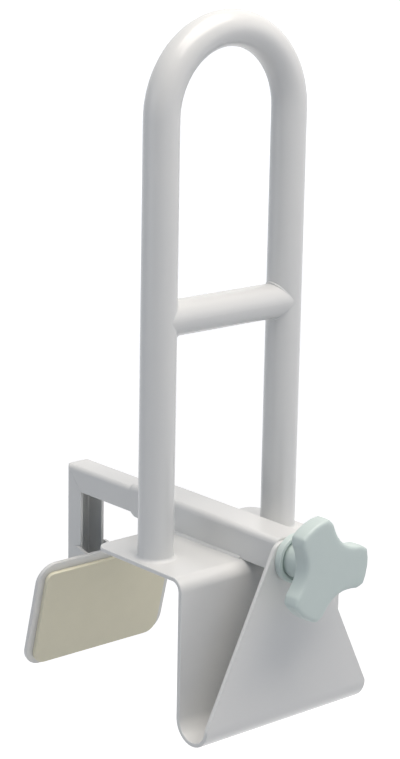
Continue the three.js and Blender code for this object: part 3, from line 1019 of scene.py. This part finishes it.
@dataclass
class SlideArm:
    """The arm and the post, two channels mitred together."""

    shared: Shared
    wall: float = 2.2
    corner: float = 3.7
    corner_steps: int = 7
    seam: float = 0.12
    edge: float = 0.6

    def channel(self, name: str, low: Point, high: Point, rounded: Callable[[Spot], bool],
                open_at: Callable[[Spot], bool]) -> Piece:
        """Start a bar of channel section.

        Args:
            name: the bar's name.
            low: its lowest corner.
            high: its highest corner.
            rounded: picks the edges that are rounded.
            open_at: picks the faces that are left open.

        Returns:
            The channel with its wall.
        """
        piece = Bench.block(name, low, high)
        with Bench.editing(piece):
            Bench.pick(piece, Part.EDGES, rounded)
            Bench.bevel(self.corner, self.corner_steps)
            Bench.pick(piece, Part.FACES, open_at)
            bpy.ops.mesh.delete(type="FACE")
        Bench.wall(piece, self.wall)
        return piece

    def mitre(self, piece: Piece, keep_arm: bool, back_off: float) -> None:
        """Cut a channel at the mitre and close the cut.

        Args:
            piece: the channel.
            keep_arm: True for the arm's side of the cut, False for the post's.
            back_off: how far below the arm's own cut this one lies.
        """
        shared = self.shared
        run = Vector((0, shared.post_back - shared.post_front, shared.arm_high - shared.arm_low))
        square = Vector((0, run.z, -run.y)).normalized()
        with Bench.editing(piece):
            bpy.ops.mesh.bisect(
                plane_co=Vector((0, shared.post_front, shared.arm_low - back_off)) * MM,
                plane_no=square if keep_arm else -square, clear_outer=True, use_fill=True)

    def arm(self) -> Piece:
        """The channel in the sleeve, open below.

        Returns:
            The settled arm.
        """
        shared = self.shared
        half, high = shared.arm_half, shared.arm_high
        piece = self.channel(
            "arm_channel_bar", (-half, shared.arm_tail, shared.arm_low), (half, shared.post_back, high),
            lambda spot: spot.at.z > high - NEAR and spot.along("y"),
            lambda spot: spot.way.z < -ALONG or spot.along("y"))
        self.mitre(piece, True, 0.0)
        Bench.soften(piece, self.edge, limit=CRISP)
        return Bench.settle(piece)

    def post(self) -> Piece:
        """The channel that hangs from the arm, open towards the knob, with the pivot's hole.

        Returns:
            The settled post.
        """
        shared = self.shared
        half, back = shared.arm_half, shared.post_back
        piece = self.channel(
            "post_channel_bar", (-half, shared.post_front, shared.post_foot), (half, back, shared.arm_high),
            lambda spot: spot.at.y > back - NEAR and spot.along("z"),
            lambda spot: spot.way.y < -ALONG or spot.along("z"))
        self.mitre(piece, False, self.seam)
        Bench.bore(piece, shared.bolt_hole, (-half - PAST, shared.pivot_y, shared.pivot_z),
                   (half + PAST, shared.pivot_y, shared.pivot_z))
        Bench.soften(piece, self.edge, limit=CRISP)
        return Bench.settle(piece)

    def build(self, dresser: Dresser) -> None:
        """Make and dress every piece of the arm.

        Args:
            dresser: gives each piece its finish, body and node.
        """
        dresser.place(self.arm(), "arm_channel", Body.ARM, POWDER_COAT)
        dresser.place(self.post(), "post_channel", Body.ARM, POWDER_COAT)
        for node in ("arm_nut", "pivot_spacer"):
            dresser.keep(node, ZINC_PLATE)


@dataclass
class ClampDrive:
    """The knob, the washer behind it and the screw."""

    shared: Shared
    washer_radius: float = 17.5
    washer_thickness: float = 5.0
    washer_edge: float = 0.8
    washer_sides: int = 96
    dish_radius: float = 15.0
    dish_depth: float = 2.4
    hub_radius: float = 13.0
    hub_length: float = 20.0
    lobe_thickness: float = 13.8
    skin_step: float = 0.9
    skin_pull: float = 0.5
    skin_passes: int = 38
    turn: float = -7.0
    lobes: int = 3
    tip_radius: float = 37.2
    tip_half_angle: float = 21.0
    tip_shares: tuple[float, ...] = (-1.0, -0.5, 0.0, 0.5, 1.0)
    shoulder_share: float = 0.952
    shoulder_angle: float = 21.9
    shoulder_steps: int = 6
    flank_share: float = 0.892
    flank_angle: float = 28.0
    hollow_share: float = 0.4
    hollow_steps: int = 14
    socket_depth: float = 24.0

    @property
    def washer_back(self) -> float:
        """The washer's face on the leaf."""
        return self.shared.leaf_outer_y - self.shared.gap

    @property
    def hub_back(self) -> float:
        """The hub's face in the washer's dish."""
        return self.washer_back - self.washer_thickness + self.dish_depth - self.shared.gap

    def on_axis(self, y: float) -> Point:
        """A point on the screw's axis."""
        return 0, y, self.shared.axis_z

    def spot(self, radius: float, angle: float, y: float) -> Point:
        """A point round the screw's axis, at an angle from +X towards +Z."""
        turn = math.radians(angle)
        return radius * math.cos(turn), y, self.shared.axis_z + radius * math.sin(turn)

    def curve(self, start: tuple[float, float], pull: tuple[float, float], end: tuple[float, float],
              steps: int) -> list[tuple[float, float]]:
        """Points of a curve, each as a radius and an angle in degrees.

        Args:
            start: where it starts.
            pull: what it is pulled towards.
            end: where it ends.
            steps: how many points it has after its start.

        Returns:
            Its points in order, without its start.
        """
        flat = [Vector((radius * math.cos(math.radians(angle)), radius * math.sin(math.radians(angle))))
                for radius, angle in (start, pull, end)]
        points = []
        for step in range(1, steps + 1):
            t = step / steps
            at = flat[0] * (1 - t) ** 2 + flat[1] * 2 * t * (1 - t) + flat[2] * t ** 2
            points.append((at.length, math.degrees(math.atan2(at.y, at.x))))
        return points

    def lobe_outline(self, y: float) -> list[Point]:
        """The outline of the knob's lobes, from tip to shoulder, flank and hollow.

        Args:
            y: the plane that it lies in.

        Returns:
            Its corners in order.
        """
        tip = self.tip_radius
        flank, shoulder = self.flank_share * tip, self.shoulder_share * tip
        pitch = 360.0 / self.lobes
        outline: list[tuple[float, float]] = []
        for lobe in range(self.lobes):
            middle = self.turn + lobe * pitch
            after = middle + pitch
            outline += [(tip, middle + self.tip_half_angle * share) for share in self.tip_shares]
            down = (flank, middle + self.flank_angle)
            up = (flank, after - self.flank_angle)
            outline += self.curve(
                outline[-1], (shoulder, middle + self.shoulder_angle), down, self.shoulder_steps)
            outline += self.curve(down, (self.hollow_share * tip, middle + pitch / 2), up, self.hollow_steps)
            outline += self.curve(
                up, (shoulder, after - self.shoulder_angle), (tip, after - self.tip_half_angle),
                self.shoulder_steps)[:-1]
        return [self.spot(radius, angle, y) for radius, angle in outline]

    def knob(self) -> Piece:
        """The lobes, with the soft rims of a moulding, and a hub behind them.

        Returns:
            The settled knob.
        """
        back = self.hub_back - self.hub_length
        piece = Bench.outline("three_lobed_knob", self.lobe_outline(back), (0, -self.lobe_thickness, 0))
        # The skin is cut into even small faces, and smoothing passes over them round the rims
        Bench.modify(piece, "REMESH", mode="VOXEL", voxel_size=self.skin_step * MM, use_smooth_shade=True)
        Bench.modify(piece, "SMOOTH", factor=self.skin_pull, iterations=self.skin_passes)
        hub = Bench.rod("hub", self.hub_radius, self.on_axis(back - self.lobe_thickness / 2),
                        self.on_axis(self.hub_back))
        Bench.boolean(piece, hub, Join.ADD)
        Bench.bore(piece, self.shared.screw_hole, self.on_axis(self.hub_back - self.socket_depth),
                   self.on_axis(self.hub_back + PAST))
        return Bench.settle(piece)

    def washer(self) -> Piece:
        """The moulded washer between the leaf and the knob, hollow towards the knob.

        Returns:
            The settled washer.
        """
        back, front = self.washer_back, self.washer_back - self.washer_thickness
        piece = Bench.rod("dished_washer", self.washer_radius, self.on_axis(back), self.on_axis(front),
                          self.washer_sides)
        with Bench.editing(piece):
            Bench.pick(piece, Part.EDGES, lambda spot: spot.at.y < front + NEAR)
            Bench.bevel(self.washer_edge, FINE)
            Bench.pick(piece, Part.FACES, lambda spot: spot.along("y") and spot.at.y < front + NEAR)
            bpy.ops.mesh.inset(thickness=(self.washer_radius - self.washer_edge - self.dish_radius) * MM)
            Bench.draw_out((0, self.dish_depth, 0))
        Bench.bore(piece, self.shared.screw_hole, self.on_axis(back + PAST), self.on_axis(front - PAST))
        return Bench.settle(piece)

    def build(self, dresser: Dresser) -> None:
        """Make and dress every piece of the drive.

        Args:
            dresser: gives each piece its finish, body and node.
        """
        dresser.place(self.washer(), "thrust_washer", Body.RAIL, KNOB_PLASTIC)
        dresser.place(self.knob(), "clamp_knob", Body.DRIVE, KNOB_PLASTIC)
        for node in ("clamp_screw", "retaining_collar", "collar_pin"):
            dresser.keep(node, ZINC_PLATE)


@dataclass
class TiltingJaw:
    """The jaw plate with its pad and ears, on the pivot bolt.

    Its pieces are modelled with the pivot at the origin and the plate upright, then leant and moved to the
    post.
    """

    shared: Shared
    lean: float = 14.0
    half_width: float = 66.5
    height: float = 89.0
    corner: float = 15.5
    corner_steps: int = 12
    top: float = 31.0
    back: float = -17.25
    edge: float = 0.6
    pad_half_width: float = 60.2
    pad_top_margin: float = 6.6
    pad_foot_margin: float = 2.4
    pad_corner: float = 6.5
    pad_foot_corner: float = 11.0
    pad_thickness: float = 3.0
    pad_edge: float = 0.5
    ear_thickness: float = 2.5
    ear_radius: float = 8.0
    ear_steps: int = 12
    ear_top: float = 24.8
    ear_drop: float = 30.0
    ear_edge: float = 0.4
    head_radius: float = 5.5
    head_height: float = 2.2
    head_dome: float = 1.32
    head_steps: int = 5
    socket_radius: float = 2.3
    socket_floor: float = 0.7
    shank_sides: int = 48
    shank_sink: float = 1.0
    shank_end: float = 0.5
    nut_across: float = 11.0
    nut_height: float = 5.5
    nut_chamfer: float = 0.7
    tail: float = 1.5
    washer_radius: float = 7.0
    washer_height: float = 1.2
    washer_edge: float = 0.2

    @property
    def washer_inner(self) -> float:
        """Distance from the middle to a flat washer's face on its ear."""
        return self.shared.ear_inner + self.ear_thickness + self.shared.gap

    @property
    def seat(self) -> float:
        """Distance from the middle to where the bolt's head and nut sit."""
        return self.washer_inner + self.washer_height + self.shared.gap

    @property
    def plate_front(self) -> float:
        """The plate's face under the pad."""
        return self.back - self.shared.sheet

    def lean_in(self, piece: Piece) -> Piece:
        """Lean a finished shape with the jaw and settle it at the pivot."""
        piece.rotation_euler = (math.radians(self.lean), 0, 0)
        piece.location = Vector((0, self.shared.pivot_y, self.shared.pivot_z)) * MM
        return Bench.settle(piece)

    def plate(self) -> Piece:
        """The steel plate behind the pad."""
        return self.lean_in(Bench.sheet(
            "jaw_sheet", (-self.half_width, self.plate_front, self.top - self.height),
            (self.half_width, self.back, self.top), (self.corner, self.corner), self.corner_steps, self.edge))

    def pad(self) -> Piece:
        """The rubber sheet on the plate's face.

        Returns:
            The settled pad.
        """
        front = self.plate_front - self.shared.gap - self.pad_thickness
        return self.lean_in(Bench.sheet(
            "jaw_rubber", (-self.pad_half_width, front, self.top - self.height + self.pad_foot_margin),
            (self.pad_half_width, self.plate_front, self.top - self.pad_top_margin),
            (self.pad_corner, self.pad_foot_corner), self.corner_steps, self.pad_edge))

    def ear(self, side: Side) -> Piece:
        """An ear that carries the bolt, its rim half round.

        Args:
            side: the ear's side.

        Returns:
            The settled ear.
        """
        inner = side * self.shared.ear_inner
        foot = self.back + self.shared.gap
        points = [(inner, foot, -self.ear_drop), (inner, foot, self.ear_top)]
        # The upper arc and the lower: its start and its turn in degrees, and the height of its centre
        for start, sweep, centre in ((90.0, 90.0, self.ear_top - self.ear_radius), (0.0, 45.0, 0.0)):
            for step in range(self.ear_steps + 1):
                turn = math.radians(start - sweep * step / self.ear_steps)
                points.append((inner, self.ear_radius * math.cos(turn),
                               centre + self.ear_radius * math.sin(turn)))
        piece = Bench.outline(f"jaw_ear_plate_{side.word}", points, (side * self.ear_thickness, 0, 0))
        Bench.bore(piece, self.shared.bolt_hole, (inner - side * PAST, 0, 0),
                   (inner + side * (self.ear_thickness + PAST), 0, 0))
        Bench.soften(piece, self.ear_edge)
        return self.lean_in(piece)

    def flat_washer(self, side: Side) -> Piece:
        """A stamped washer under the head or the nut.

        Args:
            side: NEAR for the head's washer and FAR for the nut's.

        Returns:
            The settled washer.
        """
        start = side * self.washer_inner
        end = start + side * self.washer_height
        piece = Bench.rod(f"flat_washer_{side.word}", self.washer_radius, (start, 0, 0), (end, 0, 0))
        Bench.bore(piece, self.shared.bolt_hole, (start - PAST, 0, 0), (end + PAST, 0, 0))
        Bench.soften(piece, self.washer_edge)
        return self.lean_in(piece)

    def bolt(self) -> Piece:
        """The pivot bolt: a domed head with a hexagon socket, and a shank through both ears.

        Returns:
            The settled bolt.
        """
        crown, tip = -self.seat - self.head_height, self.seat + self.nut_height + self.tail
        head = Bench.rod("pivot_bolt_domed", self.head_radius, (crown, 0, 0), (-self.seat, 0, 0))
        with Bench.editing(head):
            Bench.pick(head, Part.EDGES, lambda spot: spot.at.x < crown + NEAR)
            Bench.bevel(self.head_dome, self.head_steps)
        shank = Bench.rod("shank", self.shared.bolt_radius, (-self.seat - self.shank_sink, 0, 0), (tip, 0, 0),
                          self.shank_sides)
        with Bench.editing(shank):
            Bench.pick(shank, Part.EDGES, lambda spot: spot.at.x > tip - NEAR)
            Bench.bevel(self.shank_end, steps=2)
        Bench.boolean(head, shank, Join.ADD)
        Bench.bore(head, self.socket_radius, (crown - PAST, 0, 0), (-self.seat - self.socket_floor, 0, 0),
                   HEXAGON)
        return self.lean_in(head)

    def nut(self) -> Piece:
        """The hexagon nut on the far side, its corners turned off.

        Returns:
            The settled nut.
        """
        start, end = self.seat, self.seat + self.nut_height
        corner = self.nut_across / math.sqrt(3)
        piece = Bench.rod("pivot_hex_nut", corner, (start, 0, 0), (end, 0, 0), HEXAGON)
        turned = Bench.rod("turned", corner, (start - NEAR, 0, 0), (end + NEAR, 0, 0))
        with Bench.editing(turned):
            Bench.pick(turned, Part.EDGES, lambda spot: not spot.along("x"))
            Bench.bevel(self.nut_chamfer, steps=1)
        Bench.boolean(piece, turned, Join.KEEP)
        Bench.bore(piece, self.shared.bolt_hole, (start - PAST, 0, 0), (end + PAST, 0, 0))
        return self.lean_in(piece)

    def build(self, dresser: Dresser) -> None:
        """Make and dress every piece of the jaw.

        Args:
            dresser: gives each piece its finish, body and node.
        """
        dresser.place(self.plate(), "jaw_plate", Body.JAW, POWDER_COAT)
        dresser.place(self.pad(), "jaw_pad", Body.JAW, BEIGE_RUBBER)
        dresser.place(self.bolt(), "pivot_bolt", Body.JAW, ZINC_PLATE)
        # The far nut takes the dark steel, much darker than the zinc bolt and washers
        dresser.place(self.nut(), "pivot_nut", Body.JAW, DARK_NUT_STEEL)
        for side in Side:
            dresser.place(self.ear(side), f"jaw_ear_{side.word}", Body.JAW, POWDER_COAT)
            dresser.place(self.flat_washer(side), f"pivot_washer_{side.word}", Body.JAW, ZINC_PLATE)


# Studio


@dataclass(frozen=True)
class Softbox:
    """One large soft lamp that looks at the middle of the rail, placed in metres."""

    name: str
    at: Point
    size: float
    watts: float
    colour: str

    def build(self, target: Point) -> None:
        """Hang the lamp and aim it.

        Args:
            target: what the lamp looks at, in metres.
        """
        data = bpy.data.lights.new(self.name, "AREA")
        data.shape = "SQUARE"
        data.size = self.size
        data.energy = self.watts
        data.color = linear(self.colour)[:3]
        lamp = bpy.data.objects.new(self.name, data)
        bpy.context.scene.collection.objects.link(lamp)
        lamp.location = self.at
        lamp.rotation_euler = (Vector(target) - Vector(self.at)).to_track_quat("-Z", "Y").to_euler()


@dataclass
class Studio:
    """The floor, the surrounding white, the lamps and the camera, with sizes and places in metres.

    The camera's place is in millimetres and its angles are in radians. Names that end in px are in the
    photograph's pixels.
    """

    floor_z: float = -0.45
    floor_size: float = 60.0
    floor_colour: str = "#DADADA"
    near_glow: float = 0.62
    far_glow: float = 1.0
    glow_from: float = 1.5
    glow_to: float = 4.5
    ambient: float = 0.24
    ambient_colour: str = "#D5E6FF"
    target: Point = (0.0, 0.02, 0.12)
    lamps: tuple[Softbox, ...] = (
        Softbox("overhead_softbox", (0.15, -0.6, 2.15), 2.0, 59.5, "#FFF7EE"),
        Softbox("right_softbox", (1.7, -1.5, 0.7), 1.4, 4.0, "#FFFFFF"),
        Softbox("left_softbox", (-1.9, 0.5, 0.4), 1.4, 4.0, "#FDFFFF"),
        Softbox("front_softbox", (-0.2, -2.2, 0.4), 1.4, 1.2, "#C8DEFF"),
    )
    camera_at_mm: Point = (-1003.4858, -1125.7972, 515.3604)
    azimuth: float = -0.714704534862502
    elevation: float = 0.25365778388354715
    roll: float = 0.018266170945753668
    focal_px: float = 2213.9338
    centre_px: tuple[float, float] = (192.75, 376.35)
    frame_px: tuple[int, int] = (400, 759)
    sensor_mm: float = 36.0
    nearest: float = 0.05
    farthest: float = 200.0

    def white_for_eyes(self, tree: bpy.types.NodeTree) -> bpy.types.NodeSocket:
        """One for rays from the camera, mirrors and glass, and zero for the rays that light things.

        Args:
            tree: the node tree that it goes into.

        Returns:
            The socket that gives the one or the zero.
        """
        path = add_node(tree, "ShaderNodeLightPath")
        either = add_node(tree, "ShaderNodeMath", {"operation": "MAXIMUM"}, {
            0: path.outputs["Is Camera Ray"], 1: path.outputs["Is Glossy Ray"]})
        return add_node(tree, "ShaderNodeMath", {"operation": "MAXIMUM"}, {
            0: either.outputs[0], 1: path.outputs["Is Transmission Ray"]}).outputs[0]

    def surroundings(self) -> None:
        """Plain white to the eye, and a cool soft light at a lower level."""
        world = bpy.data.worlds.new("white_studio")
        bpy.context.scene.world = world
        tree = empty_tree(world)
        soft = add_node(tree, "ShaderNodeBackground", None, {
            "Color": linear(self.ambient_colour), "Strength": self.ambient})
        white = add_node(tree, "ShaderNodeBackground", None, {"Color": WHITE, "Strength": 1.0})
        mixed = add_node(tree, "ShaderNodeMixShader", None, {
            0: self.white_for_eyes(tree), 1: soft.outputs[0], 2: white.outputs[0]})
        add_node(tree, "ShaderNodeOutputWorld", None, {"Surface": mixed.outputs[0]})

    def floor(self) -> None:
        """Lay a wide pale floor, as far below the rim as a bathroom's is.

        It shows white and keeps its shadows.
        """
        bpy.ops.mesh.primitive_plane_add(size=self.floor_size, location=(0, 0, self.floor_z))
        floor = bpy.context.object
        floor.name = "studio_floor"
        material = bpy.data.materials.new("matt_white_paper")
        tree = empty_tree(material)
        paper = add_node(tree, "ShaderNodeBsdfDiffuse", None, {"Color": linear(self.floor_colour)})
        where = add_node(tree, "ShaderNodeTexCoord").outputs["Object"]
        away = add_node(tree, "ShaderNodeVectorMath", {"operation": "LENGTH"}, {0: where})
        level = add_node(tree, "ShaderNodeMapRange", None, {
            "Value": away.outputs["Value"], "From Min": self.glow_from, "From Max": self.glow_to,
            "To Min": self.near_glow, "To Max": self.far_glow})
        glow = add_node(tree, "ShaderNodeMath", {"operation": "MULTIPLY"}, {
            0: self.white_for_eyes(tree), 1: level.outputs["Result"]})
        light = add_node(tree, "ShaderNodeEmission", None, {"Color": WHITE, "Strength": glow.outputs[0]})
        both = add_node(tree, "ShaderNodeAddShader", None, {0: paper.outputs[0], 1: light.outputs[0]})
        add_node(tree, "ShaderNodeOutputMaterial", None, {"Surface": both.outputs[0]})
        floor.data.materials.append(material)
        floor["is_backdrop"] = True

    def camera(self) -> None:
        """The photograph's viewpoint, solved from the rail's own edges."""
        data = bpy.data.cameras.new("photo_camera")
        data.sensor_fit = "AUTO"
        data.sensor_width = self.sensor_mm
        long_side = max(self.frame_px)
        data.lens = self.focal_px * self.sensor_mm / long_side
        data.shift_x = (self.frame_px[0] / 2 - self.centre_px[0]) / long_side
        data.shift_y = (self.centre_px[1] - self.frame_px[1] / 2) / long_side
        data.clip_start = self.nearest
        data.clip_end = self.farthest
        camera = bpy.data.objects.new("photo_camera", data)
        bpy.context.scene.collection.objects.link(camera)
        ahead = Vector((-math.sin(self.azimuth) * math.cos(self.elevation),
                        math.cos(self.azimuth) * math.cos(self.elevation), -math.sin(self.elevation)))
        level = Vector((math.cos(self.azimuth), math.sin(self.azimuth), 0))
        over = level.cross(ahead)
        right = level * math.cos(self.roll) + over * math.sin(self.roll)
        up = over * math.cos(self.roll) - level * math.sin(self.roll)
        turn = Matrix((right, up, -ahead)).transposed().to_4x4()
        camera.matrix_world = Matrix.Translation(Vector(self.camera_at_mm) * MM) @ turn
        bpy.context.scene.camera = camera

    def build(self) -> None:
        """Set up the whole studio."""
        self.surroundings()
        self.floor()
        for lamp in self.lamps:
            lamp.build(self.target)
        self.camera()
        bpy.context.scene.view_settings.view_transform = "Standard"


def write_sizes() -> None:
    """Write the box of the frame and the box of the dressed rail."""
    boxes = {"cad": CAD_BOX, "visual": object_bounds()}
    for name, box in boxes.items():
        log.info("%s box in mm: %s", name, [[round(value / MM, 2) for value in corner] for corner in box])


def main() -> None:
    """Build the studio and the rail, one sub-assembly after another."""
    Studio().build()
    dresser = Dresser()
    shared = Shared.measured()
    for assembly in (GrabRail, Saddle, SlideArm, ClampDrive, TiltingJaw):
        log.info("building %s", assembly.__name__)
        assembly(shared).build(dresser)
    Bench.clear()
    write_sizes()


if __name__ == "__main__":
    main()
